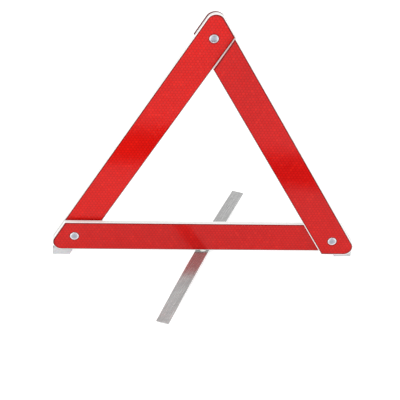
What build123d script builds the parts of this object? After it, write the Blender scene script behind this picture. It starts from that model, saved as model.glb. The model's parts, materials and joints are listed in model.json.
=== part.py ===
"""Folding warning triangle: three reflector arms riveted in a ring, with a turning strip stand.

Frame: millimetres, X to the viewer's right, Y away from the viewer, Z up. The origin is on the
ground, under the middle of the base bar. Each arm is drawn in its own frame: X runs from its start
rivet to its end rivet, Y points out of the triangle and Z points to the front. Going round by the
left arm, the right arm and the base bar, every arm starts behind its neighbour and ends in front.
"""
from build123d import *
from math import atan, cos, degrees, radians, sin, sqrt, tan
import os

# ---- Driving sizes -------------------------------------------------------------------------
SIDE = 450.0              # side of the outer triangle, measured to its sharp corners
ARM_WIDTH = 47.0          # width of an arm
CORNER_R = 13.0           # radius of an arm's outer corners
RIM = 1.0                 # wall of a tray round its lens and round its open back
TRAY_FRONT = 2.2          # height of a tray's front rim over the arm's middle plane
TRAY_BACK = 2.8           # depth of a tray's back edge under the arm's middle plane
WEB_FRONT = 0.8           # front face of the tray's floor
WEB_BACK = 0.3            # back face of the tray's floor, under the middle plane
RIB = 1.2                 # thickness of the ribs on the back
RIB_PITCH = 30.0          # largest distance between two cross ribs
BOSS_R = 8.0              # radius of the boss that backs an end rivet

PRISM_T = 0.4             # thickness of the micro-prism sheet
LENS_T = 1.6              # thickness of the reflector lens
LENS_UNDER = 3.0          # how far a lens runs on behind the arm that crosses it
LENS_CHAMFER = 0.5        # bevel round a lens
SEAT_CLEAR = 0.1          # side clearance of a lens or sheet in its tray

PIN_R = 2.5               # radius of an arm rivet's shank
HEAD_R = 6.2              # radius of an arm rivet's head
HEAD_EDGE = 0.4           # straight edge of the head
HEAD_H = 1.6              # whole height of the head
HEAD_SINK = 0.7           # how deep the head sits in the lens
HEAD_CLEAR = 0.3          # radial room round a head in its recess
TAIL_R = 4.2              # radius of the spread tail
TAIL_T = 1.2              # thickness of the spread tail
WASHER_R = 5.5            # radius of the washer under a tail
WASHER_T = 0.8            # thickness of that washer
SPACER_R = 7.5            # radius of the nylon spacer between two arms
RUN_CLEAR = 0.06          # radial clearance where a part turns on a pin
FIX_CLEAR = 0.03          # radial clearance where a pin stands still
FACE_CLEAR = 0.12         # gap between faces that slide past each other

LAYER_GAP = 2.8           # gap between two neighbouring arms at the bottom corners
APEX_PASS = 0.8           # gap between the two upright arms' planes at the apex
APEX_LAP = 1.2            # how far the right arm's cut end laps over the left arm's rim
APEX_RIVET_IN = 2.7       # distance from the arms' corner point down to the apex rivet

PLATE_T = 1.6             # thickness of the apex corner plate
PLATE_OUT = 1.4           # how far the plate shows outside the left arm's long edge
PLATE_IN = 0.1            # how far it stays inside the tip's other edge
PEG_R = 1.8               # radius of the catch peg
PEG_OUT = 6.3             # distance of the peg's axis from the left arm's inner edge
PEG_EDGE = 0.3            # plate left round the peg
PEG_PASS = 0.3            # gap between the peg's end and what it passes
CATCH_WALL = 1.2          # wall of the hook that the peg rests in
CATCH_FLOOR = 0.5         # gap under the peg's end in the hook's slot
SLOT_SWEEP = 70.0         # angle that the slot opens over, from straight out towards the right arm's foot

FOOT_H = 8.5              # height of the base bar over the ground
FOOT_OUT_H = 11.5         # height of a foot's outer end
FOOT_TOP_L = 28.5         # length of a foot along the bar
FOOT_SOLE_L = 24.5        # length of a foot's sole
FOOT_DEPTH = 5.8          # depth of a foot, front to back
FOOT_SOLE_R = 1.0         # radius of the sole's edges
TONGUE_L = 6.0            # length of the tongue that plugs into the bar
TONGUE_T = 2.0            # thickness of that tongue
TONGUE_H = 5.0            # height of the tongue inside the bar
TONGUE_IN = 3.0           # distance from the foot's inner end to the tongue

STRIP_HALF = 170.5        # half the length of the stand strip
STRIP_W = 18.0            # width of the stand strip
STRIP_T = 1.5             # thickness of the stand strip
STRIP_PAD = 12.0          # flat at each end of the strip
STRIP_CORNER = 1.2        # radius of the strip's corners
STAND_ANGLE = 68.4        # angle from X to the strip in use
STAND_WASHER_T = 1.0      # washer between the strip and the bar
STAND_WASHER_R = 5.0
STAND_PIN_R = 1.25        # radius of the stand rivet's shank
STAND_PIN_BACK = 1.0      # how far the stand rivet stands behind the bar's middle plane
STAND_HEAD_R = 4.0
STAND_HEAD_T = 1.2
STAND_TAIL_R = 1.7
STAND_TAIL_T = 1.0
STAND_BOSS_W = 16.0       # width of the boss that holds the stand rivet
STAND_BOSS_H = 9.0        # height of that boss over the bar's rim
STAND_GAP = 0.05          # gap between the strip and the parts over and under it

# ---- Sizes that follow ---------------------------------------------------------------------
C30 = cos(radians(30))
HALF_W = ARM_WIDTH / 2
PITCH_L = SIDE - 2 * C30 * ARM_WIDTH                  # distance between two rivets
ARM_T = TRAY_BACK + WEB_FRONT + PRISM_T + LENS_T      # thickness of an arm over its lens
LENS_BACK = WEB_FRONT + PRISM_T
LENS_FRONT = LENS_BACK + LENS_T
LAYER = ARM_T / 2 + ARM_T / 2 + LAYER_GAP             # distance between two arms' middle planes
RISE = PITCH_L * C30                                  # height of the apex rivet over the others
TILT = atan((LAYER - (ARM_T + APEX_PASS) / 2) / RISE)  # lean of the upright arms towards each other
PIVOT_Z = FOOT_H + HALF_W
HEAD_SEAT = LENS_FRONT - HEAD_SINK
CUT_OFFSET = HALF_W - APEX_LAP                        # from the apex rivet to the right arm's cut end


# ---- Frames --------------------------------------------------------------------------------
def arm_frame(start, along, back):
    """An arm's frame, from its start rivet, its direction and the direction of its back."""
    return Plane(origin=start, x_dir=along, z_dir=-back)


LEFT_AXIS = Vector(0, cos(TILT), sin(TILT))
RIGHT_AXIS = Vector(0, cos(TILT), -sin(TILT))
LEFT_PIVOT = Vector(-PITCH_L / 2, LAYER, PIVOT_Z)
RIGHT_PIVOT = Vector(PITCH_L / 2, -LAYER, PIVOT_Z)
LEFT_UP = Vector(0.5, -C30 * sin(TILT), C30 * cos(TILT))
RIGHT_DOWN = Vector(0.5, -C30 * sin(TILT), -C30 * cos(TILT))

LEFT = arm_frame(LEFT_PIVOT, LEFT_UP, LEFT_AXIS)
RIGHT = arm_frame(RIGHT_PIVOT - RIGHT_DOWN * PITCH_L, RIGHT_DOWN, RIGHT_AXIS)
BAR = arm_frame(Vector(PITCH_L / 2, 0, PIVOT_Z), Vector(-1, 0, 0), Vector(0, 1, 0))
APEX_RIVET_U = PITCH_L - APEX_RIVET_IN
APEX_RIVET_AT = LEFT * Location((APEX_RIVET_U, 0, 0))
RIGHT_END = RIGHT * Location((PITCH_L, 0, 0))


# ---- Flat shapes in an arm's frame -----------------------------------------------------------
def start_u(offset, v):
    """Place along the arm, at height v, of a line that crosses the start rivet's corner."""
    return (offset - v / 2) / C30


def end_u(offset, v):
    """The same line at the end rivet's corner."""
    return PITCH_L - start_u(offset, v)


def arm_face(inset=0.0, start=None, end=None):
    """Arm outline, drawn in by inset. A start or end offset cuts it there and leaves it sharp."""
    low, high = -HALF_W + inset, HALF_W - inset
    first = low if start is None else start
    last = low if end is None else end
    corners = [
        (start_u(first, low), low),
        (end_u(last, low), low),
        (end_u(last, high), high),
        (start_u(first, high), high),
    ]
    face = make_face(Polyline(*corners, close=True))
    rounded = []
    if start is None:
        rounded.append(corners[3])
    if end is None:
        rounded.append(corners[2])
    for u, v in rounded:
        vertex = face.vertices().sort_by_distance((u, v, 0))[0]
        face = fillet(vertex, CORNER_R - inset)
    return face


def slab(face, low, high):
    """The face as a plate between two heights."""
    return extrude(Pos(0, 0, low) * face, high - low)


def bar_between(a, b, width):
    """A straight rib of the given width from point a to point b."""
    run = Vector(*b) - Vector(*a)
    middle = (Vector(*a) + Vector(*b)) * 0.5
    turn = Vector(1, 0, 0).get_signed_angle(run, Vector(0, 0, 1))
    return Pos(middle.X, middle.Y, 0) * Rot(0, 0, turn) * Rectangle(run.length + width, width)


def rib_faces(first, last):
    """Cross ribs at even distances, with one diagonal in each bay."""
    bays = int((last - first) / RIB_PITCH) + 1
    step = (last - first) / bays
    reach = HALF_W - RIM / 2
    ribs = []
    for i in range(bays + 1):
        u = first + i * step
        ribs.append(bar_between((u, -reach), (u, reach), RIB))
        if i < bays:
            side = reach if i % 2 else -reach
            ribs.append(bar_between((u, side), (u + step, -side), RIB))
    return ribs


# ---- Arms ------------------------------------------------------------------------------------
def tray(lens_start, start=None, solid_back=(), rib_start=BOSS_R + 4 * RIM):
    """White tray: a floor with a rim in front for the lens and an open ribbed back."""
    body = slab(arm_face(start=start), -TRAY_BACK, TRAY_FRONT)
    seat = arm_face(RIM, start=lens_start - SEAT_CLEAR)
    body -= slab(seat, WEB_FRONT, TRAY_FRONT)
    back = arm_face(RIM, start=None if start is None else start + RIM)
    back -= Pos(PITCH_L, 0) * Circle(BOSS_R)
    for face in [*rib_faces(rib_start, PITCH_L - BOSS_R), *solid_back]:
        back -= face
    return body - slab(back, -TRAY_BACK, -WEB_BACK)


def lens(lens_start):
    """Red reflector lens with a bevelled front edge."""
    plate = slab(arm_face(RIM + SEAT_CLEAR, start=lens_start), LENS_BACK, LENS_FRONT)
    return chamfer(plate.faces().sort_by(Axis.Z)[-1].edges(), LENS_CHAMFER)


def prism_sheet(lens_start):
    """Thin white sheet that lies between the tray's floor and the lens."""
    return slab(arm_face(RIM + SEAT_CLEAR, start=lens_start), WEB_FRONT, LENS_BACK)


def round_bar(radius, low, high):
    """Cylinder on the Z axis between two heights."""
    return Pos(0, 0, (low + high) / 2) * Cylinder(radius, high - low)


def head_shape():
    """Domed rivet head that stands on the XY plane."""
    dome = HEAD_H - HEAD_EDGE
    ball = (HEAD_R**2 + dome**2) / (2 * dome)
    half_way = HEAD_H - ball + sqrt(ball**2 - HEAD_R**2 / 4)
    profile = make_face([
        Line((0, 0), (HEAD_R, 0)),
        Line((HEAD_R, 0), (HEAD_R, HEAD_EDGE)),
        ThreePointArc((HEAD_R, HEAD_EDGE), (HEAD_R / 2, half_way), (0, HEAD_H)),
        Line((0, HEAD_H), (0, 0)),
    ])
    return revolve(Plane.XZ * profile, Axis.Z)


def rivet(seat, tail):
    """Rivet on the Z axis: head on the seat height, spread tail that ends at the tail height."""
    shank = round_bar(PIN_R, tail, seat + HEAD_EDGE)
    spread = round_bar(TAIL_R, tail, tail + TAIL_T)
    return Pos(0, 0, seat) * head_shape() + shank + spread


def ring(outer, inner, low, high):
    """Washer on the Z axis."""
    return round_bar(outer, low, high) - round_bar(inner, low, high)


def head_recess(seat):
    """Room for a rivet head, from its seat forwards."""
    return round_bar(HEAD_R + HEAD_CLEAR, seat, seat + HEAD_H + HEAD_SINK)


def through(clearance, low, high):
    """Hole for an arm rivet's shank."""
    return round_bar(PIN_R + clearance, low, high)


# Rivets, washers and spacers stand on the hinge axes, which lean with the upright arms.
LEFT_TAIL = -WEB_BACK - FACE_CLEAR - WASHER_T - TAIL_T
RIGHT_TAIL = -LAYER - WEB_BACK - FACE_CLEAR - WASHER_T - TAIL_T
APEX_TAIL = -TRAY_BACK - PLATE_T - WASHER_T - TAIL_T
LEFT_SEAT = LAYER + HEAD_SEAT
LONG = 2 * LAYER + ARM_T

left_pivot_rivet = LEFT * rivet(LEFT_SEAT, LEFT_TAIL)
right_pivot_rivet = RIGHT_END * rivet(HEAD_SEAT, RIGHT_TAIL)
apex_rivet = APEX_RIVET_AT * rivet(HEAD_SEAT, APEX_TAIL)

left_pivot_washer = LEFT * ring(WASHER_R, PIN_R + FIX_CLEAR, LEFT_TAIL + TAIL_T, LEFT_TAIL + TAIL_T + WASHER_T)
right_pivot_washer = RIGHT_END * ring(
    WASHER_R, PIN_R + FIX_CLEAR, RIGHT_TAIL + TAIL_T, RIGHT_TAIL + TAIL_T + WASHER_T)
apex_washer = APEX_RIVET_AT * ring(WASHER_R, PIN_R + FIX_CLEAR, APEX_TAIL + TAIL_T, APEX_TAIL + TAIL_T + WASHER_T)

# A spacer is trimmed flat by the bar's own face and keeps a square face towards the turning arm.
behind_bar = Pos(0, TRAY_BACK + LONG / 2, PIVOT_Z) * Box(SIDE, LONG, ARM_WIDTH)
before_bar = Pos(0, -TRAY_FRONT - LONG / 2, PIVOT_Z) * Box(SIDE, LONG, ARM_WIDTH)
left_pivot_spacer = (LEFT * ring(SPACER_R, PIN_R + FIX_CLEAR, TRAY_FRONT + FACE_CLEAR, LAYER)) & behind_bar
right_pivot_spacer = (RIGHT_END * ring(SPACER_R, PIN_R + FIX_CLEAR, -LAYER, -TRAY_BACK - FACE_CLEAR)) & before_bar

# Base bar: it starts behind the right arm and ends in front of the left arm.
LENS_START = HALF_W - LENS_UNDER
stand_boss = Pos(PITCH_L / 2, HALF_W - RIM - STAND_BOSS_H / 2) * Rectangle(STAND_BOSS_W, STAND_BOSS_H)
left_hole = LEFT * (through(FIX_CLEAR, -LONG, LONG) + head_recess(LEFT_SEAT))
right_hole = RIGHT_END * through(FIX_CLEAR, -LONG, LONG)

STAND_AT = Location((0, STAND_PIN_BACK, 0))
BOSS_TOP = FOOT_H + RIM + STAND_BOSS_H
stand_hole = STAND_AT * round_bar(STAND_PIN_R + FIX_CLEAR, 0, BOSS_TOP)
stand_window = STAND_AT * round_bar(STAND_TAIL_R + 2 * FACE_CLEAR, BOSS_TOP, BOSS_TOP + 2 * STAND_TAIL_T)

FOOT_END = SIDE / 2 - CORNER_R * (1 / tan(radians(30)) - 1)     # widest point of a rounded corner
TONGUE_X = FOOT_END - FOOT_TOP_L + TONGUE_IN + TONGUE_L / 2
TONGUE_Y = (WEB_BACK + TRAY_BACK) / 2
TONGUE_TOP = FOOT_H + RIM + TONGUE_H


def tongue(side, clearance):
    """Tongue of a foot, or the slot for it."""
    low = FOOT_H - RIM
    block = Box(TONGUE_L + 2 * clearance, TONGUE_T + 2 * clearance, TONGUE_TOP + clearance - low)
    return Pos(side * TONGUE_X, TONGUE_Y, (TONGUE_TOP + clearance + low) / 2) * block


bar_tray = BAR * tray(LENS_START, solid_back=[stand_boss])
for cut in (left_hole, right_hole, stand_hole, stand_window, tongue(-1, SEAT_CLEAR), tongue(1, SEAT_CLEAR)):
    bar_tray -= cut
bar_lens = BAR * lens(LENS_START) - left_hole
bar_prism_sheet = BAR * prism_sheet(LENS_START) - left_hole

# Left arm: it starts behind the bar and carries the corner plate behind its tip.
own_pivot = through(RUN_CLEAR, -LONG, LONG)
end_hole = Pos(APEX_RIVET_U, 0, 0) * (through(FIX_CLEAR, -LONG, LONG) + head_recess(HEAD_SEAT))
left_arm_tray = LEFT * (tray(LENS_START) - own_pivot - end_hole)
left_arm_lens = LEFT * (lens(LENS_START) - end_hole)
left_arm_prism_sheet = LEFT * (prism_sheet(LENS_START) - end_hole)

# Corner plate: the tip's outline, one ear past the inner edge, and a peg that points forwards.
PEG_V = -HALF_W - PEG_OUT
PEG_LIFT = LAYER - sin(TILT) * (HALF_W + PEG_R) - TRAY_BACK - PEG_PASS   # peg's end over the middle plane
high_v = HALF_W + PLATE_OUT
tip_end = PLATE_IN - HALF_W
tip_corners = [
    (end_u(HALF_W, -HALF_W), -HALF_W),
    (end_u(tip_end, -HALF_W), -HALF_W),
    (end_u(tip_end, high_v), high_v),
    (end_u(HALF_W, high_v), high_v),
]
tip_face = make_face(Polyline(*tip_corners, close=True))
tip_face = fillet(tip_face.vertices().sort_by_distance((*tip_corners[2], 0))[0], CORNER_R + PLATE_OUT / 2)
ear_r = PEG_R + PEG_EDGE
ear_face = make_face(Polyline(
    (PITCH_L - 3 * ear_r, -HALF_W + RIM),
    (PITCH_L - ear_r, PEG_V),
    (PITCH_L + ear_r, PEG_V),
    (PITCH_L + 3 * ear_r, -HALF_W + RIM),
    close=True,
)) + Pos(PITCH_L, PEG_V) * Circle(ear_r)
plate = slab(tip_face + ear_face, -TRAY_BACK - PLATE_T, -TRAY_BACK)
plate -= Pos(APEX_RIVET_U, 0, 0) * through(FIX_CLEAR, -LONG, 0)
apex_corner_plate = LEFT * (plate + Pos(PITCH_L, PEG_V, 0) * round_bar(PEG_R, -TRAY_BACK, PEG_LIFT))

# Right arm: its apex end is cut along the left arm's inner edge, and its lens runs out to the cut.
peg_tip = RIGHT.to_local_coords(LEFT.from_local_coords(Vector(PITCH_L, PEG_V, PEG_LIFT)))
slot_r = PEG_R + HEAD_CLEAR
rise_v = HALF_W + RIM - peg_tip.Y
run_u = rise_v * tan(radians(SLOT_SWEEP)) + slot_r / cos(radians(SLOT_SWEEP))
slot_face = make_face(Polyline(
    (peg_tip.X - slot_r, peg_tip.Y),
    (peg_tip.X - slot_r, peg_tip.Y + rise_v),
    (peg_tip.X + run_u, peg_tip.Y + rise_v),
    (peg_tip.X + slot_r / cos(radians(SLOT_SWEEP)), peg_tip.Y),
    close=True,
)) + Pos(peg_tip.X, peg_tip.Y) * Circle(slot_r)
catch_slot = slab(slot_face, -TRAY_BACK, peg_tip.Z + CATCH_FLOOR)
catch_wall = Pos(peg_tip.X, peg_tip.Y) * Circle(slot_r + CATCH_WALL)

right_tray = tray(
    CUT_OFFSET, start=CUT_OFFSET, solid_back=[catch_wall], rib_start=peg_tip.X + run_u + RIB)
right_hole_own = Pos(PITCH_L, 0, 0) * (own_pivot + head_recess(HEAD_SEAT))
right_arm_tray = RIGHT * (right_tray - catch_slot - right_hole_own)
right_arm_lens = RIGHT * (lens(CUT_OFFSET) - right_hole_own)
right_arm_prism_sheet = RIGHT * (prism_sheet(CUT_OFFSET) - right_hole_own)


# ---- Feet and stand --------------------------------------------------------------------------
def foot(side):
    """Foot under a rounded corner, with a bevelled inner end and a tongue that plugs into the bar."""
    inner = FOOT_END - FOOT_TOP_L
    outline = make_face(Polyline(
        (side * inner, FOOT_OUT_H),
        (side * inner, FOOT_H),
        (side * (FOOT_END - FOOT_SOLE_L), 0),
        (side * FOOT_END, 0),
        (side * FOOT_END, FOOT_OUT_H),
        close=True,
    ))
    sole = outline.vertices().filter_by_position(Axis.Y, -0.01, 0.01)
    outline = fillet(sole, FOOT_SOLE_R)
    block = extrude(Plane.XZ * outline, FOOT_DEPTH / 2, both=True)
    block -= BAR * slab(arm_face(), -LONG, LONG)
    return block + tongue(side, 0)


left_foot = foot(-1)
right_foot = foot(1)

STRIP_MID = FOOT_H - STAND_WASHER_T - STAND_GAP - STRIP_T      # underside of the strip at its middle
side_view = make_face([
    Line((-STRIP_HALF, 0), (-STRIP_HALF + STRIP_PAD, 0)),
    ThreePointArc((-STRIP_HALF + STRIP_PAD, 0), (0, STRIP_MID), (STRIP_HALF - STRIP_PAD, 0)),
    Line((STRIP_HALF - STRIP_PAD, 0), (STRIP_HALF, 0)),
    Line((STRIP_HALF, 0), (STRIP_HALF, STRIP_T)),
    Line((STRIP_HALF, STRIP_T), (STRIP_HALF - STRIP_PAD, STRIP_T)),
    ThreePointArc(
        (STRIP_HALF - STRIP_PAD, STRIP_T), (0, STRIP_MID + STRIP_T), (-STRIP_HALF + STRIP_PAD, STRIP_T)),
    Line((-STRIP_HALF + STRIP_PAD, STRIP_T), (-STRIP_HALF, STRIP_T)),
    Line((-STRIP_HALF, STRIP_T), (-STRIP_HALF, 0)),
])
strip = extrude(Plane.XZ * side_view, STRIP_W / 2, both=True)
strip = fillet([e for e in strip.edges().filter_by(Axis.Z) if abs(e.center().X) > STRIP_HALF - 1], STRIP_CORNER)
strip -= round_bar(STAND_PIN_R + RUN_CLEAR, 0, FOOT_H)
stand_leg = STAND_AT * Rot(0, 0, STAND_ANGLE) * strip

stand_washer = STAND_AT * ring(STAND_WASHER_R, STAND_PIN_R + FIX_CLEAR, FOOT_H - STAND_WASHER_T, FOOT_H)
head_top = STRIP_MID - STAND_GAP
stand_rivet = STAND_AT * (
    round_bar(STAND_HEAD_R, head_top - STAND_HEAD_T, head_top)
    + round_bar(STAND_PIN_R, head_top - STAND_HEAD_T, BOSS_TOP + STAND_TAIL_T)
    + round_bar(STAND_TAIL_R, BOSS_TOP, BOSS_TOP + STAND_TAIL_T)
)

# ---- Files -----------------------------------------------------------------------------------
NODES = {
    "bar_tray": bar_tray,
    "bar_lens": bar_lens,
    "bar_prism_sheet": bar_prism_sheet,
    "left_arm_tray": left_arm_tray,
    "left_arm_lens": left_arm_lens,
    "left_arm_prism_sheet": left_arm_prism_sheet,
    "right_arm_tray": right_arm_tray,
    "right_arm_lens": right_arm_lens,
    "right_arm_prism_sheet": right_arm_prism_sheet,
    "apex_corner_plate": apex_corner_plate,
    "apex_rivet": apex_rivet,
    "apex_washer": apex_washer,
    "left_pivot_rivet": left_pivot_rivet,
    "left_pivot_washer": left_pivot_washer,
    "left_pivot_spacer": left_pivot_spacer,
    "right_pivot_rivet": right_pivot_rivet,
    "right_pivot_washer": right_pivot_washer,
    "right_pivot_spacer": right_pivot_spacer,
    "left_foot": left_foot,
    "right_foot": right_foot,
    "stand_leg": stand_leg,
    "stand_washer": stand_washer,
    "stand_rivet": stand_rivet,
}

os.makedirs("parts", exist_ok=True)
for name, shape in NODES.items():
    export_step(Compound(children=shape.solids()) if len(shape.solids()) > 1 else shape.solids()[0],
                f"parts/{name}.step")

for name, axis, at in (("left_arm_fold", LEFT_AXIS, LEFT_PIVOT), ("right_arm_fold", RIGHT_AXIS, RIGHT_PIVOT)):
    print(name, "axis", [round(x, 6) for x in axis], "at", [round(x / 1000, 6) for x in at])
print("stand_swivel at", [0, STAND_PIN_BACK / 1000, 0], "angle in use", STAND_ANGLE)
print("arm lean", round(degrees(TILT), 3), "rivet to rivet", round(PITCH_L, 2), "foot end", round(FOOT_END, 2))
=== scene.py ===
"""Looks of the folding warning triangle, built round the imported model.

Units are metres. Every arm has its own frame, as in the model: u runs from the middle of its start
corner to the middle of its end corner, v points out of the triangle and w points to the front.
"""
import json
import math

import bpy
import numpy as np
from mathutils import Matrix, Vector


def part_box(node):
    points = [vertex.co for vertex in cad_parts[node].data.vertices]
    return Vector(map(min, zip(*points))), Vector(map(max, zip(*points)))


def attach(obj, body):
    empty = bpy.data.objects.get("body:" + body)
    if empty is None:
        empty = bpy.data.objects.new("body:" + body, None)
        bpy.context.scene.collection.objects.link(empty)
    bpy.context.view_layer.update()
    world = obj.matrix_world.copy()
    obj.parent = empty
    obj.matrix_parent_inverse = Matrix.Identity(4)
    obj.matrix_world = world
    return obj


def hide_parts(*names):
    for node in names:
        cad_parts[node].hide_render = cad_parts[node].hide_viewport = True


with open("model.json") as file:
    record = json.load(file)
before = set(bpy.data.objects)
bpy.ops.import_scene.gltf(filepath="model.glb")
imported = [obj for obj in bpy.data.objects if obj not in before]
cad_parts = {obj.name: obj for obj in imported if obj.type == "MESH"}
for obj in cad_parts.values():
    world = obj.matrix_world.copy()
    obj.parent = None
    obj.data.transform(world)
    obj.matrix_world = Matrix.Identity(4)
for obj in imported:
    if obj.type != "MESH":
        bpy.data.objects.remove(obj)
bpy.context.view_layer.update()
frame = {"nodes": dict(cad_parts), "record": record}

MM = 0.001
C30 = math.cos(math.radians(30))
JOINTS = {joint["name"]: joint for joint in frame["record"]["behaviour"]["joints"]}

# ---- Sizes read from the model ---------------------------------------------------------------
bar_low, bar_high = (np.array(c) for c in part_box("bar_tray"))
glass_low, glass_high = (np.array(c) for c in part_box("bar_lens"))
HALF_W = (bar_high[2] - bar_low[2]) / 2          # half an arm's width
GLASS_HALF = (glass_high[2] - glass_low[2]) / 2  # half a lens's width
GLASS_FRONT = -glass_low[1]                      # a lens's faces over the arm's middle plane
GLASS_BACK = -glass_high[1]
TRAY_BACK = bar_high[1]
LEFT_PIVOT = np.array(JOINTS["left_arm_fold"]["pos_m"])
RIGHT_PIVOT = np.array(JOINTS["right_arm_fold"]["pos_m"])
LEFT_AXIS = np.array(JOINTS["left_arm_fold"]["axis"])
RIGHT_AXIS = np.array(JOINTS["right_arm_fold"]["axis"])
SPAN = RIGHT_PIVOT[0] - LEFT_PIVOT[0]            # an arm's length between its corners' middles
PIVOT_Z = LEFT_PIVOT[2]
LAYER = LEFT_PIVOT[1]                            # distance between neighbouring arms

CORNER_R = 13.0 * MM                             # outer corner of a tray
GLASS_R = CORNER_R - (HALF_W - GLASS_HALF)       # outer corner of a lens
GLASS_UNDER = 3.0 * MM                           # how far a lens runs on behind its neighbour
APEX_LAP = 1.2 * MM                              # how far the right arm's cut end laps over the left arm
CUT_OFFSET = HALF_W - APEX_LAP                   # cut end of the right arm, from the arms' corner point
HEAD_R = 6.2 * MM                                # rivet head: radius, depth in the lens and height
HEAD_SINK = 0.7 * MM
HEAD_H = 1.6 * MM


# ---- Arm frames ------------------------------------------------------------------------------
def arm_matrix(start, along, back):
    """Rows: the arm frame's origin and its u, v and w directions, with v = w x u."""
    w = -np.asarray(back, float)
    u = np.asarray(along, float)
    return np.array([start, u, np.cross(w, u), w])


# The uprights stand at 60 degrees to the bar, in planes that lean towards each other.
lean_sin, lean_cos = LEFT_AXIS[2], LEFT_AXIS[1]
left_up = np.array([0.5, -C30 * lean_sin, C30 * lean_cos])
right_down = np.array([0.5, -C30 * lean_sin, -C30 * lean_cos])
LEFT = arm_matrix(LEFT_PIVOT, left_up, LEFT_AXIS)
RIGHT = arm_matrix(RIGHT_PIVOT - right_down * SPAN, right_down, RIGHT_AXIS)
BAR = arm_matrix((SPAN / 2, 0, PIVOT_Z), (-1, 0, 0), (0, 1, 0))


def place(points, arm):
    """Points given as u, v, w in an arm's frame, turned to x, y, z: origin + (u, v, w) @ directions."""
    return arm[0] + points @ arm[1:]


# ---- Mesh making -----------------------------------------------------------------------------
def make_piece(name, points, faces, material, body, node, finish, flat=None, angle=35):
    """A closed mesh that rides on a body. flat gives each point's u and v on the arm, for patterns,
    and the shares after node give three numbers of painted light and shade for its material to read.
    Edges sharper than angle stay sharp."""
    mesh = bpy.data.meshes.new(name)
    mesh.from_pydata(points.tolist(), [], faces)
    if flat is not None:
        layer = mesh.uv_layers.new(name="arm")
        corner_points = np.empty(len(mesh.loops), np.int32)
        mesh.loops.foreach_get("vertex_index", corner_points)
        layer.data.foreach_set("uv", flat[corner_points].ravel())
    layer = mesh.color_attributes.new(name="finish", type="FLOAT_COLOR", domain="POINT")
    layer.data.foreach_set("color", np.column_stack([finish, np.ones(len(finish))]).ravel())
    mesh.validate()
    mesh.shade_smooth()
    mesh.set_sharp_from_angle(angle=math.radians(angle))
    mesh.materials.append(material)
    piece = bpy.data.objects.new(name, mesh)
    bpy.context.scene.collection.objects.link(piece)
    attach(piece, body)
    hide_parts(node)


def grid_faces(rows, columns, wrap=False):
    """Quads of a grid of points numbered row by row. wrap joins the last column to the first."""
    r, c = np.meshgrid(np.arange(rows - 1), np.arange(columns if wrap else columns - 1), indexing="ij")
    this_row, next_row, next_c = r * columns, (r + 1) * columns, (c + 1) % columns
    quads = np.stack([this_row + c, this_row + next_c, next_row + next_c, next_row + c], -1)
    return quads.reshape(-1, 4).tolist()


def lathe(name, profile, centre, axis, material, body, node, segments=72):
    """Surface of revolution, closed by one point at each pole: a profile of (radius, height) from the
    back pole to the front pole is turned round an axis, as centre + radius * (cos t * side + sin t *
    other) + height * axis. Its first share, which the head's painted highlight reads, is the radius
    as a share of the largest one."""
    axis = axis / np.linalg.norm(axis)
    side = np.cross(axis, (1.0, 0.0, 0.0))
    side /= np.linalg.norm(side)
    other = np.cross(axis, side)
    turn = np.linspace(0, 2 * np.pi, segments, endpoint=False)
    ring = np.cos(turn)[:, None] * side + np.sin(turn)[:, None] * other
    inner = profile[1:-1]
    points = centre + inner[:, None, :1] * ring[None] + inner[:, None, 1:] * axis
    poles = centre + profile[[0, -1], 1:] * axis
    points = np.concatenate([points.reshape(-1, 3), poles])
    rows = len(inner)
    back_pole, front_pole, last_row = rows * segments, rows * segments + 1, (rows - 1) * segments
    here = np.arange(segments)
    ahead = np.roll(here, -1)
    back_cap = np.stack([np.full(segments, back_pole), ahead, here], -1)
    front_cap = np.stack([np.full(segments, front_pole), last_row + here, last_row + ahead], -1)
    faces = grid_faces(rows, segments, wrap=True) + back_cap.tolist() + front_cap.tolist()
    share = np.concatenate([np.repeat(inner[:, 0], segments), [0.0, 0.0]]) / profile[:, 0].max()
    finish = np.stack([share, share * 0, share * 0], -1)
    make_piece(name, points, faces, material, body, node, finish)


# ---- Reflector lenses ------------------------------------------------------------------------
CELL = 4.6 * MM             # width of a honeycomb cell
CELL_SHAPE = (1.0, math.sqrt(3))  # the cells repeat in boxes of this width and height, in cell widths
SLOPE = 0.45                # share of half a cell over which its crown rises from its border
RELIEF = 0.05 * MM          # height of a cell's crown over its borders
BEVEL = 0.55 * MM           # rounded front edge of a lens
BEVEL_STEPS = 4
STEP = 0.62 * MM            # spacing of the lens grid
ARC_STEPS = 26              # rows in the turn of a lens's round corner
ARC_FROM = -30              # that turn's first angle, where the arc leaves the slanted end line
EDGE_FLAT = 1.6 * MM        # plain border round the honeycomb, and the part of it that is quite flat
EDGE_LEVEL = 0.6 * EDGE_FLAT
SEAT_FLAT = (1.0 * MM, 2.0 * MM)   # plain ring round a rivet head, and where the honeycomb is whole
SEAT_WALL = (0.2 * MM, 0.9 * MM)   # foot and top of the recess that a rivet head sits in
LINE_WIDTH = 1.7 * MM       # painted shade line round a lens and round the recess of its rivet
LENS_ANGLE = 50             # degrees past which a lens's edge stays sharp
LENS_NODES = {"base_bar": "bar_lens", "left_arm": "left_arm_lens", "right_arm": "right_arm_lens"}


def hex_border(u, v):
    """Distance from the nearest honeycomb border, as a share of half a cell: 1 at a cell's centre. With
    x and y from the nearest centre of two staggered sets, it is 1 - 2 max(x, x / 2 + y cos 30)."""
    period = np.array(CELL_SHAPE)
    point = np.stack([u, v], -1) / CELL
    first = point - np.round(point / period) * period
    second = point - period / 2
    second = second - np.round(second / period) * period
    in_first = (first**2).sum(-1) < (second**2).sum(-1)
    x, y = np.moveaxis(np.abs(np.where(in_first[..., None], first, second)), -1, 0)
    return 1 - 2 * np.maximum(x, x / 2 + y * C30)


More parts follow.
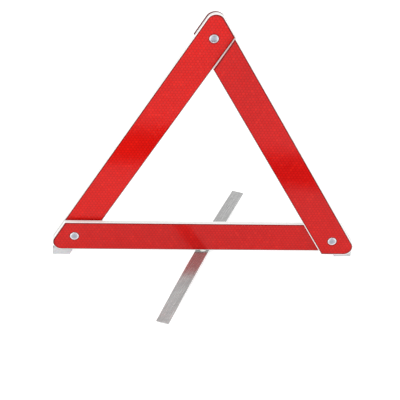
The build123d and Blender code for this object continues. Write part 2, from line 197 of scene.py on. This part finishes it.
def lens_rows(inset):
    """Heights v of the grid's rows: even up to the round corner, then centre + radius * sin(turn) at
    even turns of its arc."""
    high, radius = GLASS_HALF - inset, GLASS_R - inset
    centre = high - radius
    arc = centre + radius * np.sin(np.radians(np.linspace(ARC_FROM, 90, ARC_STEPS)))
    even = np.linspace(-high, arc[0], int((arc[0] + high) / STEP))
    return np.concatenate([even[:-1], arc])


def lens_grid(start_offset, inset, columns):
    """u and v of the lens's points, drawn in by an inset. Each row is evenly spaced from the slanted
    start line, u = (offset - v / 2) / cos 30, to the slanted end line, or to the corner's arc,
    u = u_mid + sqrt(radius^2 - (v - v_mid)^2)."""
    high, radius = GLASS_HALF - inset, GLASS_R - inset
    v = lens_rows(inset)
    first = (start_offset + inset - v / 2) / C30
    last = SPAN + (high + v / 2) / C30
    v_mid = high - radius
    u_mid = SPAN + (v_mid + v_mid / 2) / C30
    arc = u_mid + np.sqrt(np.maximum(radius**2 - (v - v_mid) ** 2, 0))
    last = np.where(v > v_mid - radius / 2, arc, last)
    share = np.linspace(0, 1, columns)
    u = first[:, None] + (last - first)[:, None] * share
    return u, np.broadcast_to(v[:, None], u.shape)


def rim_loop(rows, columns):
    """Indices of the grid's border, once round with the inside on the left."""
    index = np.arange(rows * columns).reshape(rows, columns)
    return np.concatenate([index[0, :-1], index[:-1, -1], index[-1, :0:-1], index[:0:-1, 0]])


def smooth_step(x, low, high):
    """0 below low, 1 over high, and an even S curve between."""
    t = np.clip((x - low) / (high - low), 0, 1)
    return t * t * (3 - 2 * t)


def build_lens(name, arm, body, start_offset, material, tone, rivet_u):
    """Lens: a front face with a shallow honeycomb, z = front + relief * crown(border), sunk round the
    rivet head, then a bevel round a quarter turn, straight sides and a flat back. Its first share is
    how far a point lies from the painted shade line round its edge and round the rivet, 0 in that
    line, and its second is the arm's painted light level."""
    columns = int(SPAN / STEP)
    quarter = np.radians(np.linspace(0, 90, BEVEL_STEPS))
    insets = BEVEL * (1 - np.sin(quarter))
    drops = BEVEL * (1 - np.cos(quarter))
    grids = [lens_grid(start_offset, inset, columns) for inset in insets]
    u, v = grids[0]
    rows = len(u)
    face_points = rows * columns
    border = np.minimum.reduce([GLASS_HALF - np.abs(v), (u - u[:, :1]) * C30, (u[:, -1:] - u) * C30])
    from_head = np.hypot(u - rivet_u, v) - HEAD_R

    crown = smooth_step(hex_border(u, v), 0.0, SLOPE)
    crown = crown * smooth_step(border, EDGE_LEVEL, EDGE_FLAT) * smooth_step(from_head, *SEAT_FLAT)
    sink = 1 - smooth_step(from_head, *SEAT_WALL)
    low = GLASS_FRONT - RELIEF
    w = low + RELIEF * crown - (HEAD_SINK - RELIEF) * sink
    points = [np.stack([u, v, w], -1).reshape(-1, 3)]
    faces = grid_faces(rows, columns)

    loop = rim_loop(rows, columns)
    count = len(loop)
    previous, total = loop, face_points
    levels = [low - drop for drop in drops[1:]] + [GLASS_BACK]
    for level, (ring_u, ring_v) in zip(levels, grids[1:] + [grids[-1]]):
        points.append(np.stack([ring_u.ravel()[loop], ring_v.ravel()[loop], np.full(count, level)], -1))
        current = np.arange(total, total + count)
        faces += np.stack([previous, current, np.roll(current, -1), np.roll(previous, -1)], -1).tolist()
        previous = current
        total += count
    faces.append(previous[::-1].tolist())

    points = np.concatenate(points)
    # Painted shade: a dark line round the lens's edge and round the rivet head, where shade falls.
    unshaded = smooth_step(border, LINE_WIDTH / 3, LINE_WIDTH)
    unshaded = unshaded * smooth_step(from_head, LINE_WIDTH / 4, LINE_WIDTH)
    finish = np.zeros((len(points), 3))
    finish[:face_points, 0] = unshaded.ravel()
    # The second share is the arm's painted light level.
    finish[:, 1] = tone
    make_piece(name, place(points, arm), faces, material, body, LENS_NODES[body],
               finish, points[:, :2].copy(), LENS_ANGLE)


# ---- Materials -------------------------------------------------------------------------------
BUMP_DEPTH = 0.2 * MM
PLAIN = (1.0, 1.0, 1.0)     # a ramp's colour where it changes nothing


def new_material(name, colour, roughness, metallic=0.0, **sockets):
    """A Principled material. Returns it with its node tree and its shader."""
    material = bpy.data.materials.new(name)
    material.use_nodes = True
    tree = material.node_tree
    shader = tree.nodes["Principled BSDF"]
    shader.inputs["Base Color"].default_value = (*colour, 1)
    shader.inputs["Roughness"].default_value = roughness
    shader.inputs["Metallic"].default_value = metallic
    for socket, value in sockets.items():
        shader.inputs[socket.replace("_", " ")].default_value = value
    return material, tree, shader


def add(tree, kind, operation=None, **inputs):
    """A node with its inputs set or linked: in0 is the first input, and so on."""
    node = tree.nodes.new(kind)
    if operation:
        node.operation = operation
    for key, value in inputs.items():
        number = key.removeprefix("in")
        socket = node.inputs[int(number) if number.isdigit() else key]
        if isinstance(value, bpy.types.NodeSocket):
            tree.links.new(value, socket)
        else:
            socket.default_value = value
    return node


def ramp(tree, factor, *stops):
    """Colour ramp between (place, colour) stops."""
    node = tree.nodes.new("ShaderNodeValToRGB")
    tree.links.new(factor, node.inputs[0])
    elements = node.color_ramp.elements
    while len(elements) < len(stops):
        elements.new(0.5)
    for element, (place_at, colour) in zip(elements, stops):
        element.position = place_at
        element.color = (*colour, 1)
    return node.outputs[0]


def mix_colour(tree, factor, a, b, blend="MIX"):
    """Two colour sockets mixed by a factor."""
    node = tree.nodes.new("ShaderNodeMix")
    node.data_type = "RGBA"
    node.blend_type = blend
    node.inputs[0].default_value = factor
    tree.links.new(a, node.inputs[6])
    tree.links.new(b, node.inputs[7])
    return node.outputs[2]


def multiply(tree, a, b, factor=1.0):
    """One colour socket multiplied by another, by a share of the full effect."""
    return mix_colour(tree, factor, a, b, "MULTIPLY")


def bump(tree, shader, height, strength):
    """Bump on the shader's normal, a strength's share of BUMP_DEPTH deep."""
    node = add(tree, "ShaderNodeBump", Height=height, Strength=strength, Distance=BUMP_DEPTH)
    tree.links.new(node.outputs[0], shader.inputs["Normal"])


def vary_roughness(tree, shader, noise, low, high):
    """Roughness that follows a noise between two values."""
    value = add(tree, "ShaderNodeMapRange", **{"Value": noise, "To Min": low, "To Max": high}).outputs[0]
    tree.links.new(value, shader.inputs["Roughness"])


def painted_light_inputs(tree):
    """The separate shares of painted light and shade that a piece's colour attribute holds."""
    attribute = add(tree, "ShaderNodeAttribute")
    attribute.attribute_name = "finish"
    return add(tree, "ShaderNodeSeparateXYZ", in0=attribute.outputs["Vector"]).outputs


def object_coordinates(tree):
    """The piece's own coordinates, in metres."""
    return add(tree, "ShaderNodeTexCoord").outputs["Object"]


def object_noise(tree, scale, detail, stretch=1, turn=0.0):
    """Noise on Object coordinates, stretched along an axis that is turned about Z from X."""
    mapping = add(tree, "ShaderNodeMapping", Vector=object_coordinates(tree))
    mapping.vector_type = "TEXTURE"
    mapping.inputs["Scale"].default_value = (stretch, 1, 1)
    mapping.inputs["Rotation"].default_value = (0, 0, turn)
    return add(tree, "ShaderNodeTexNoise", Vector=mapping.outputs[0], Scale=scale, Detail=detail).outputs[0]


def honeycomb(tree):
    """Honeycomb on the arm's own map, as in hex_border: the nearer centre of two staggered sets of
    cells, the place from it, and the reach, which is 0 at a cell's centre and 0.5 at its border."""
    uv = add(tree, "ShaderNodeUVMap")
    uv.uv_map = "arm"
    point = add(tree, "ShaderNodeVectorMath", "SCALE", in0=uv.outputs[0], Scale=1 / CELL).outputs[0]
    half = (CELL_SHAPE[0] / 2, CELL_SHAPE[1] / 2, 0.5)
    minus_half = tuple(-side for side in half)

    def wrap(vector):
        return add(tree, "ShaderNodeVectorMath", "WRAP", in0=vector, in1=half, in2=minus_half).outputs[0]

    def length(vector):
        return add(tree, "ShaderNodeVectorMath", "LENGTH", in0=vector).outputs["Value"]

    staggered = add(tree, "ShaderNodeVectorMath", "SUBTRACT", in0=point, in1=(half[0], half[1], 0))
    first, second = wrap(point), wrap(staggered.outputs[0])
    choice = add(tree, "ShaderNodeMath", "LESS_THAN", in0=length(second), in1=length(first)).outputs[0]
    pick = tree.nodes.new("ShaderNodeMix")
    pick.data_type = "VECTOR"
    for index, socket in ((0, choice), (4, first), (5, second)):
        tree.links.new(socket, pick.inputs[index])
    local = pick.outputs[1]
    centre = add(tree, "ShaderNodeVectorMath", "SUBTRACT", in0=point, in1=local).outputs[0]
    size = add(tree, "ShaderNodeVectorMath", "ABSOLUTE", in0=local).outputs[0]
    slant = add(tree, "ShaderNodeVectorMath", "DOT_PRODUCT", in0=size, in1=(0.5, C30, 0)).outputs["Value"]
    across = add(tree, "ShaderNodeSeparateXYZ", in0=size).outputs[0]
    reach = add(tree, "ShaderNodeMath", "MAXIMUM", in0=slant, in1=across).outputs[0]
    return centre, local, reach


def cell_chance(tree, centre):
    """A random number for each cell. Its centre is snapped to a fine grid first, so that rounding
    doesn't change the number inside a cell."""
    snap, nudge = 0.25, 0.12
    nudged = add(tree, "ShaderNodeVectorMath", "ADD", in0=centre, in1=(nudge, nudge, 0)).outputs[0]
    snapped = add(tree, "ShaderNodeVectorMath", "SNAP", in0=nudged, in1=(snap, snap, 1)).outputs[0]
    return add(tree, "ShaderNodeTexWhiteNoise", Vector=snapped).outputs[0]


def prism_facets(tree, local):
    """Which way a point lies from its cell's centre, rising from 0 to 1 over each third of a turn."""
    third = 2 * math.pi / 3
    parts = add(tree, "ShaderNodeSeparateXYZ", in0=local).outputs
    angle = add(tree, "ShaderNodeMath", "ARCTAN2", in0=parts[1], in1=parts[0]).outputs[0]
    facet = add(tree, "ShaderNodeMath", "WRAP", in0=angle, in1=third, in2=0.0).outputs[0]
    return add(tree, "ShaderNodeMath", "MULTIPLY", in0=facet, in1=1 / third).outputs[0]


def reflector_material():
    """Clear red lens over corner prisms: honeycomb cells, each with its own brightness and with painted
    glints in the brightest, three facets painted lighter and darker as painted shading, darker borders,
    a painted light level for each arm, a slow drift and a painted shade line round the edge and rivet."""
    material, tree, shader = new_material(
        "red_reflector", (0.55, 0.004, 0.003), 0.12, Coat_Weight=0.12, Coat_Roughness=0.06, IOR=1.49,
        Specular_IOR_Level=0.16)
    centre, local, reach = honeycomb(tree)
    shares = painted_light_inputs(tree)
    # The first share marks the painted shade line, the second the arm's painted light level.
    unshaded, tone = shares[0], shares[1]
    # Painted light: each arm's red is lighter or darker for how the light falls on its prisms.
    arm_painted_light = ramp(
        tree, tone, (0.0, (0.51, 0.005, 0.004)), (0.5, (0.56, 0.005, 0.004)), (1.0, (0.65, 0.005, 0.002)))
    drift = ramp(tree, object_noise(tree, 14.0, 2.0), (0.30, (0.88, 0.8, 0.8)), (0.70, PLAIN))
    # Each cell's red differs at random, and the brightest cells are painted glints.
    cell_tone_and_glint = ramp(
        tree, cell_chance(tree, centre),
        (0.0, (0.48, 0.003, 0.002)), (0.85, (0.60, 0.005, 0.004)), (1.0, (0.74, 0.014, 0.006)))
    # Painted shading: each prism's three facets are coloured lighter and darker, as light would fall on
    # them.
    facet_painted_shading = ramp(
        tree, prism_facets(tree, local), (0.0, (0.80, 0.80, 0.80)), (0.5, PLAIN), (1.0, (0.9, 0.9, 0.9)))
    line = ramp(tree, reach, (0.38, PLAIN), (0.49, (0.62, 0.55, 0.55)))
    # Painted shade: the face is darkened in a line round the lens's edge and round the rivet's recess.
    painted_edge_shade = ramp(tree, unshaded, (0.0, (0.36, 0.25, 0.35)), (1.0, PLAIN))
    colour = mix_colour(tree, 0.3, multiply(tree, arm_painted_light, drift), cell_tone_and_glint)
    colour = multiply(tree, colour, facet_painted_shading, 0.6)
    colour = multiply(tree, multiply(tree, colour, line), painted_edge_shade)
    tree.links.new(colour, shader.inputs["Base Color"])
    vary_roughness(tree, shader, object_noise(tree, 160.0, 4.0), 0.07, 0.15)
    bump(tree, shader, reach, 0.10)
    return material


def moulded_material(name, low, high, roughness, grain=900.0, **sockets):
    """Moulded plastic: colour drifting between two tones, with a fine spark-eroded grain."""
    material, tree, shader = new_material(name, high, roughness, **sockets)
    tone = ramp(tree, object_noise(tree, 9.0, 3.0), (0.35, low), (0.65, high))
    flecks = ramp(tree, object_noise(tree, 420.0, 2.0), (0.30, (0.93, 0.93, 0.93)), (0.55, PLAIN))
    tree.links.new(multiply(tree, tone, flecks), shader.inputs["Base Color"])
    vary_roughness(tree, shader, object_noise(tree, 60.0, 4.0), roughness - 0.07, roughness + 0.09)
    bump(tree, shader, object_noise(tree, grain, 2.0), 0.12)
    return material


def nickel_material(name, domed):
    """Nickel plate with faint tumbling marks. On a domed head the colour is painted darker in the
    middle and brighter than the plate at the rim, a painted shade and a painted highlight.
    """
    material, tree, shader = new_material(name, (0.62, 0.62, 0.66), 0.2, 1.0)
    tone = ramp(tree, object_noise(tree, 220.0, 4.0), (0.3, (0.52, 0.53, 0.56)), (0.7, (0.66, 0.66, 0.69)))
    if domed:
        # Painted highlight and shade: the dome is darker in the middle and bright at its rolled rim.
        painted_rim_highlight = ramp(
            tree, painted_light_inputs(tree)[0],
            (0.0, (0.44, 0.47, 0.53)), (0.62, (0.60, 0.63, 0.68)), (0.92, (1.2, 1.2, 1.2)))
        tone = multiply(tree, tone, painted_rim_highlight)
    tree.links.new(tone, shader.inputs["Base Color"])
    vary_roughness(tree, shader, object_noise(tree, 500.0, 5.0), 0.12, 0.34)
    bump(tree, shader, object_noise(tree, 700.0, 3.0), 0.06)
    return material


def steel_material(angle):
    """Zinc-plated strip: rolling lines along the strip, soft spangle and a few duller patches."""
    material, tree, shader = new_material("galvanised_steel", (0.5, 0.5, 0.49), 0.4, 0.75)
    lines = object_noise(tree, 700.0, 3.0, stretch=60, turn=angle)
    spangle = add(tree, "ShaderNodeTexVoronoi", Vector=object_coordinates(tree), Scale=260.0)
    grey = add(tree, "ShaderNodeRGBToBW", in0=spangle.outputs["Color"]).outputs[0]
    tone = ramp(tree, lines, (0.25, (0.48, 0.48, 0.475)), (0.75, (0.66, 0.66, 0.655)))
    sparkle = ramp(tree, grey, (0.1, (0.88, 0.88, 0.89)), (0.9, PLAIN))
    patches = ramp(tree, object_noise(tree, 22.0, 4.0), (0.35, (0.86, 0.86, 0.85)), (0.6, PLAIN))
    colour = multiply(tree, multiply(tree, tone, sparkle), patches)
    tree.links.new(colour, shader.inputs["Base Color"])
    vary_roughness(tree, shader, lines, 0.18, 0.32)
    bump(tree, shader, lines, 0.08)
    return material


stand_low, stand_high = (np.array(c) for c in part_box("stand_leg"))
STRIP_TURN = math.atan2(stand_high[1] - stand_low[1], stand_high[0] - stand_low[0])  # the box's diagonal

RED = reflector_material()
WHITE = moulded_material("white_tray", (0.78, 0.775, 0.76), (0.84, 0.835, 0.825), 0.38)
SHEET = moulded_material("prism_sheet", (0.80, 0.80, 0.81), (0.88, 0.88, 0.88), 0.3, grain=1500.0)
PLATE = moulded_material("red_plate", (0.10, 0.008, 0.008), (0.15, 0.012, 0.012), 0.42)
# Painted shade: the white plastic feet are coloured grey, as they look in shade.
FOOT_IN_PAINTED_SHADE = moulded_material(
    "foot_plastic", (0.44, 0.445, 0.46), (0.54, 0.545, 0.56), 0.45, Subsurface_Weight=0.2,
    Subsurface_Scale=3 * MM)
NYLON = moulded_material(
    "nylon", (0.80, 0.80, 0.76), (0.88, 0.88, 0.84), 0.5, Subsurface_Weight=0.15, Subsurface_Scale=2 * MM)
NICKEL = nickel_material("nickel", domed=False)
DOMED_NICKEL = nickel_material("nickel_head", domed=True)
STEEL = steel_material(STRIP_TURN)

FINISHES = {
    "white_tray": WHITE, "red_reflector": RED, "prism_sheet": SHEET, "red_plate": PLATE,
    "nickel_rivet": NICKEL, "nylon": NYLON, "foot_plastic": FOOT_IN_PAINTED_SHADE, "galvanised_steel": STEEL,
}
for entry in frame["record"]["subparts"]:
    for material_slot in frame["nodes"][entry["node"]].material_slots:
        material_slot.material = FINISHES[entry["material_slot"]]

# ---- Lenses ----------------------------------------------------------------------------------
BAR_PAINTED_LIGHT, RIGHT_PAINTED_LIGHT, LEFT_PAINTED_LIGHT = 0.0, 0.3, 1.0  # places on the reflector's ramp of painted light levels: each arm is painted lighter or darker for how light falls on its prisms
LENS_START = HALF_W - GLASS_UNDER                # a lens's start line, behind its neighbour's edge
rivet_low, rivet_high = (np.array(c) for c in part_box("apex_rivet"))
APEX_U = float(((rivet_low + rivet_high) / 2 - LEFT[0]) @ LEFT[1])
build_lens("bar_reflector", BAR, "base_bar", LENS_START, RED, BAR_PAINTED_LIGHT, SPAN)
build_lens("left_arm_reflector", LEFT, "left_arm", LENS_START, RED, LEFT_PAINTED_LIGHT, APEX_U)
build_lens("right_arm_reflector", RIGHT, "right_arm", CUT_OFFSET, RED, RIGHT_PAINTED_LIGHT, SPAN)

# ---- Rivets ----------------------------------------------------------------------------------
SHANK_R = 2.5 * MM
TAIL_R = 4.2 * MM           # curled tail: outer radius and depth
TAIL_T = 1.2 * MM
TAIL_WALL = 0.5 * MM        # from the curl's outer edge in to its flat top
HOLLOW = ((0.0, 1.6 * MM), (1.3 * MM, 1.5 * MM), (1.7 * MM, 0.9 * MM))  # radius and depth inside the tail
CURL_TURN = (-200, 20)      # the curl's first and last angle
ROLL_R = 0.24 * MM          # rolled edge of the head, with its first and last angle
ROLL_TURN = (-90, 60)
CURL_STEPS, ROLL_STEPS, DOME_STEPS = 14, 10, 18
WEB_BACK = 0.3 * MM         # back of an arm's web, behind its middle plane
PLATE_T = 1.6 * MM
WASHER_T = 0.8 * MM
SLIDE = 0.12 * MM           # clearance of a turning joint


def around(radius, height, curve, turn, steps):
    """(radius, height) points of an arc of one curve about a middle point, over a turn in degrees."""
    turn = np.radians(np.linspace(*turn, steps))
    return np.stack([radius + curve * np.cos(turn), height + curve * np.sin(turn)], -1)


def rivet_profile(seat, tail):
    """Rivet from its hollow tail, which is curled outwards round a circle, along its shank to its
    head: a rolled edge and a dome that is part of a ball, height = base + sqrt(ball^2 - radius^2)."""
    curl_r = TAIL_T / 2
    hollow = np.array(HOLLOW) + (0.0, tail)
    curl = around(TAIL_R - curl_r, tail + curl_r, curl_r, CURL_TURN, CURL_STEPS)
    shank = [(TAIL_R - TAIL_WALL, tail + TAIL_T), (SHANK_R, tail + TAIL_T), (SHANK_R, seat)]
    edge = around(HEAD_R - ROLL_R, seat + ROLL_R, ROLL_R, ROLL_TURN, ROLL_STEPS)
    reach, rise = edge[-1, 0], HEAD_H - 2 * ROLL_R
    ball = (reach**2 + rise**2) / (2 * rise)
    radii = reach * np.cos(np.radians(np.linspace(0, 90, DOME_STEPS)))[1:-1]
    dome = np.stack([radii, seat + HEAD_H - ball + np.sqrt(ball**2 - radii**2)], -1)
    return np.concatenate([hollow, curl, shank, edge, dome, [(0.0, seat + HEAD_H)]])


def build_rivet(name, at, axis, seat, held_back, body):
    """A rivet whose tail is spread on a washer. held_back is the back of what it holds, the washer
    left out."""
    profile = rivet_profile(seat, held_back - WASHER_T - TAIL_T)
    lathe(f"{name}_domed_rivet", profile, at, axis, DOMED_NICKEL, body, f"{name}_rivet")


SEAT = GLASS_FRONT - HEAD_SINK                   # under a rivet's head, in front of its arm's middle
WEB_HOLD = -WEB_BACK - SLIDE                     # a pivot washer's front, behind the rear arm's middle
apex_at = LEFT[0] + LEFT[1] * APEX_U
build_rivet("left_pivot", LEFT_PIVOT, -LEFT_AXIS, LAYER + SEAT, WEB_HOLD, "base_bar")
build_rivet("right_pivot", RIGHT_PIVOT, -RIGHT_AXIS, SEAT, WEB_HOLD - LAYER, "base_bar")
build_rivet("apex", apex_at, -LEFT_AXIS, SEAT, -TRAY_BACK - PLATE_T, "left_arm")

# ---- Floor, light and camera -----------------------------------------------------------------
FLOOR_HALF = 6.0
FLOOR_GLOW, WORLD_LIGHT = 0.35, 0.8              # the floor glows a little, so that it stays white
WHITE_LIGHT = (1, 1, 1, 1)
floor_mesh = bpy.data.meshes.new("floor")
floor_corners = [(x * FLOOR_HALF, y * FLOOR_HALF, 0) for x, y in ((-1, -1), (1, -1), (1, 1), (-1, 1))]
floor_mesh.from_pydata(floor_corners, [], [(0, 1, 2, 3)])
floor_material, _, floor_shader = new_material("floor", (0.95, 0.95, 0.95), 0.9)
floor_shader.inputs["Emission Color"].default_value = WHITE_LIGHT
floor_shader.inputs["Emission Strength"].default_value = FLOOR_GLOW
floor_mesh.materials.append(floor_material)
floor = bpy.data.objects.new("floor", floor_mesh)
bpy.context.scene.collection.objects.link(floor)

world = bpy.data.worlds.new("studio")
world.use_nodes = True
world.node_tree.nodes["Background"].inputs["Color"].default_value = WHITE_LIGHT
world.node_tree.nodes["Background"].inputs["Strength"].default_value = WORLD_LIGHT
bpy.context.scene.world = world
bpy.context.scene.view_settings.view_transform = "Standard"


def soft_light(name, place_at, target, size, power):
    """A square area light that faces a point."""
    lamp = bpy.data.lights.new(name, "AREA")
    lamp.size = size
    lamp.energy = power
    light = bpy.data.objects.new(name, lamp)
    light.location = place_at
    light.rotation_euler = (Vector(target) - Vector(place_at)).to_track_quat("-Z", "Y").to_euler()
    bpy.context.scene.collection.objects.link(light)


LIT_POINT = (0, 0, 0.15)
soft_light("key", (-1.2, -1.6, 2.0), LIT_POINT, size=1.4, power=26)
soft_light("fill", (1.5, -1.0, 1.3), LIT_POINT, size=1.6, power=10)

# A low dark red card lies on the floor in front, hidden from the camera. It is seen only in glossy
# reflections, where it stands for a red case that lies there.
CARD_L, CARD_W = 0.44, 0.10
CARD_BOTTOM, CARD_TOP = 1 * MM, 4 * MM
CARD_TURN = math.radians(2)
CARD_MIDDLE = (0.0, -0.261)
card_mesh = bpy.data.meshes.new("reflection_card")
card_corners = np.array([(x, y) for y in (-CARD_W / 2, CARD_W / 2) for x in (-CARD_L / 2, CARD_L / 2)])
turned = CARD_MIDDLE + card_corners @ np.array([
    [math.cos(CARD_TURN), math.sin(CARD_TURN)], [-math.sin(CARD_TURN), math.cos(CARD_TURN)]])
card_points = np.concatenate([
    np.column_stack([turned, np.full(4, height)]) for height in (CARD_BOTTOM, CARD_TOP)])
card_mesh.from_pydata(card_points.tolist(), [], [
    (0, 2, 3, 1), (4, 5, 7, 6), (0, 1, 5, 4), (1, 3, 7, 5), (3, 2, 6, 7), (2, 0, 4, 6)])
card_material, _, _ = new_material("card", (0.10, 0.004, 0.003), 0.6)
card_mesh.materials.append(card_material)
card = bpy.data.objects.new("reflection_card", card_mesh)
card.visible_camera = card.visible_shadow = card.visible_diffuse = False
bpy.context.scene.collection.objects.link(card)

# The camera stands a little left of the middle, looks down on the triangle and is slightly rolled.
AZIMUTH, ELEVATION, ROLL = math.radians(-4.7), math.radians(34.2), math.radians(3.21)
DISTANCE = 1.970
AIM = np.array([-0.008, 0.0, 0.0943])
FOCAL_LENGTH, SENSOR_WIDTH = 126.0, 36.0         # millimetres, as the camera takes them
FAR_CLIP = 50.0
back = np.array([
    math.sin(AZIMUTH) * math.cos(ELEVATION),
    -math.cos(AZIMUTH) * math.cos(ELEVATION),
    math.sin(ELEVATION),
])
level = np.cross(-back, (0, 0, 1))
level /= np.linalg.norm(level)
upright = np.cross(level, -back)
right = math.cos(ROLL) * level + math.sin(ROLL) * upright
up = -math.sin(ROLL) * level + math.cos(ROLL) * upright
camera_data = bpy.data.cameras.new("camera")
camera_data.sensor_width = SENSOR_WIDTH
camera_data.lens = FOCAL_LENGTH
camera_data.clip_end = FAR_CLIP
camera = bpy.data.objects.new("camera", camera_data)
eye = AIM + back * DISTANCE
camera.matrix_world = Matrix((
    (right[0], up[0], back[0], eye[0]),
    (right[1], up[1], back[1], eye[1]),
    (right[2], up[2], back[2], eye[2]),
    (0, 0, 0, 1),
))
bpy.context.scene.collection.objects.link(camera)
bpy.context.scene.camera = camera
